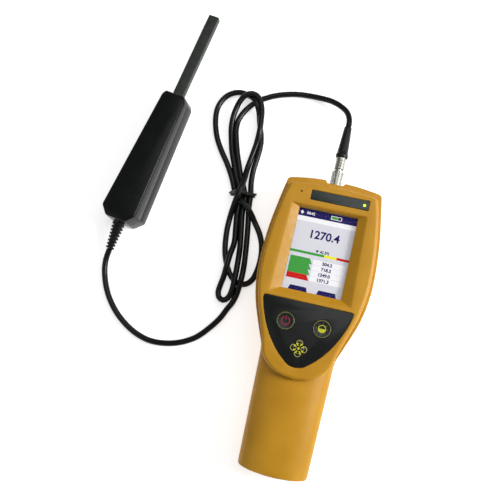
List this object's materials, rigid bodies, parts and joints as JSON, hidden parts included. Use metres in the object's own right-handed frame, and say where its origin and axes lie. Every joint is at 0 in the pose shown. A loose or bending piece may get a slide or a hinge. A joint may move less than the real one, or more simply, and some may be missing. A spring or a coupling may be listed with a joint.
{
  "type": "handheld field meter with wired probe",
  "caption": "Handheld field meter in a yellow case with a colour display and key pad, wired by a tied hank of cord to a flat black probe with a slim flat sensing rod.",
  "frame": {"origin": "back face of the meter's case, straight behind the middle of the display", "axes": "+Z out of the display, +Y along the meter from the handle to the probe socket, +X to the right seen from the front with the socket up"},
  "size_m": [0.2348, 0.3698, 0.0403],
  "materials": {
    "case_yellow": "fine satin moulded finish",
    "overlay_black": "glossy film",
    "key_black": "satin silicone-coated key",
    "label_grey": "satin printed film",
    "lime_lens": "clear tinted light pipe",
    "window_clear": "clear, polished",
    "display": "lit display in a pressed frame",
    "board_green": "solder mask",
    "nickel": "nickel plate, bright",
    "cell_wrap": "printed cell sleeve",
    "inner_black": "moulded, plain",
    "foam": "closed-cell foam",
    "screw_steel": "zinc plated",
    "cord_black": "smooth satin cable sheath",
    "tie_black": "plastic-covered wire",
    "probe_black": "fine textured moulding",
    "rod_grey": "matt coated"
  },
  "bodies": {
    "meter": {"rear_shell": "case_yellow", "front_shell": "case_yellow", "case_screw_1": "screw_steel", "case_screw_2": "screw_steel", "case_screw_3": "screw_steel", "case_screw_4": "screw_steel", "lcd_gasket": "foam", "lcd_window": "window_clear", "lcd_module": "display", "label_plate": "label_grey", "status_led": "lime_lens", "buzzer": "inner_black", "keypad_overlay": "overlay_black", "keypad_board": "board_green", "main_board": "board_green", "battery_tray": "inner_black", "battery_cell_1": "cell_wrap", "battery_cell_2": "cell_wrap", "battery_cell_3": "cell_wrap", "contact_spring_plate": "nickel", "contact_flat_plate": "nickel", "probe_socket": "nickel", "socket_nut": "nickel", "plug_core": "nickel", "plug_collar": "nickel", "cable_boot": "cord_black", "cord_plug_side": "cord_black", "cord_hank": "cord_black", "cord_tie": "tie_black", "cord_probe_side": "cord_black"},
    "probe": {"probe_shell_rear": "probe_black", "probe_shell_front": "probe_black", "probe_board": "board_green", "probe_rod": "rod_grey", "probe_screw_1": "screw_steel", "probe_screw_2": "screw_steel", "probe_strain_relief": "cord_black", "sensor_x": "inner_black", "sensor_y": "inner_black", "sensor_z": "inner_black"},
    "power_key_body": {"power_key": "key_black"},
    "backlight_key_body": {"backlight_key": "key_black"},
    "nav_up_key_body": {"nav_up_key": "key_black"},
    "nav_left_key_body": {"nav_left_key": "key_black"},
    "nav_down_key_body": {"nav_down_key": "key_black"},
    "nav_right_key_body": {"nav_right_key": "key_black"},
    "nav_ok_key_body": {"nav_ok_key": "key_black"},
    "sleeve": {"plug_sleeve": "nickel"},
    "door": {"battery_door": "case_yellow"}
  },
  "joints": [
    {"name": "power_press", "type": "slide", "parent": "meter", "child": "power_key_body", "axis": [0, 0, -1], "range_m": [0, 0.0004], "stiffness_N_per_m": 3000},
    {"name": "backlight_press", "type": "slide", "parent": "meter", "child": "backlight_key_body", "axis": [0, 0, -1], "range_m": [0, 0.0004], "stiffness_N_per_m": 3000},
    {"name": "nav_up_press", "type": "slide", "parent": "meter", "child": "nav_up_key_body", "axis": [0, 0, -1], "range_m": [0, 0.00035], "stiffness_N_per_m": 3000},
    {"name": "nav_left_press", "type": "slide", "parent": "meter", "child": "nav_left_key_body", "axis": [0, 0, -1], "range_m": [0, 0.00035], "stiffness_N_per_m": 3000},
    {"name": "nav_down_press", "type": "slide", "parent": "meter", "child": "nav_down_key_body", "axis": [0, 0, -1], "range_m": [0, 0.00035], "stiffness_N_per_m": 3000},
    {"name": "nav_right_press", "type": "slide", "parent": "meter", "child": "nav_right_key_body", "axis": [0, 0, -1], "range_m": [0, 0.00035], "stiffness_N_per_m": 3000},
    {"name": "nav_ok_press", "type": "slide", "parent": "meter", "child": "nav_ok_key_body", "axis": [0, 0, -1], "range_m": [0, 0.00035], "stiffness_N_per_m": 3000},
    {"name": "sleeve_unlock", "type": "slide", "parent": "meter", "child": "sleeve", "axis": [0, 1, 0], "range_m": [0, 0.0015], "stiffness_N_per_m": 900},
    {"name": "door_slide", "type": "slide", "parent": "meter", "child": "door", "axis": [0, -1, 0], "range_m": [0, 0.08]},
    {"name": "probe_lift", "type": "slide", "parent": "meter", "child": "probe", "axis": [0, 0, 1], "range_m": [0, 0.06]}
  ]
}
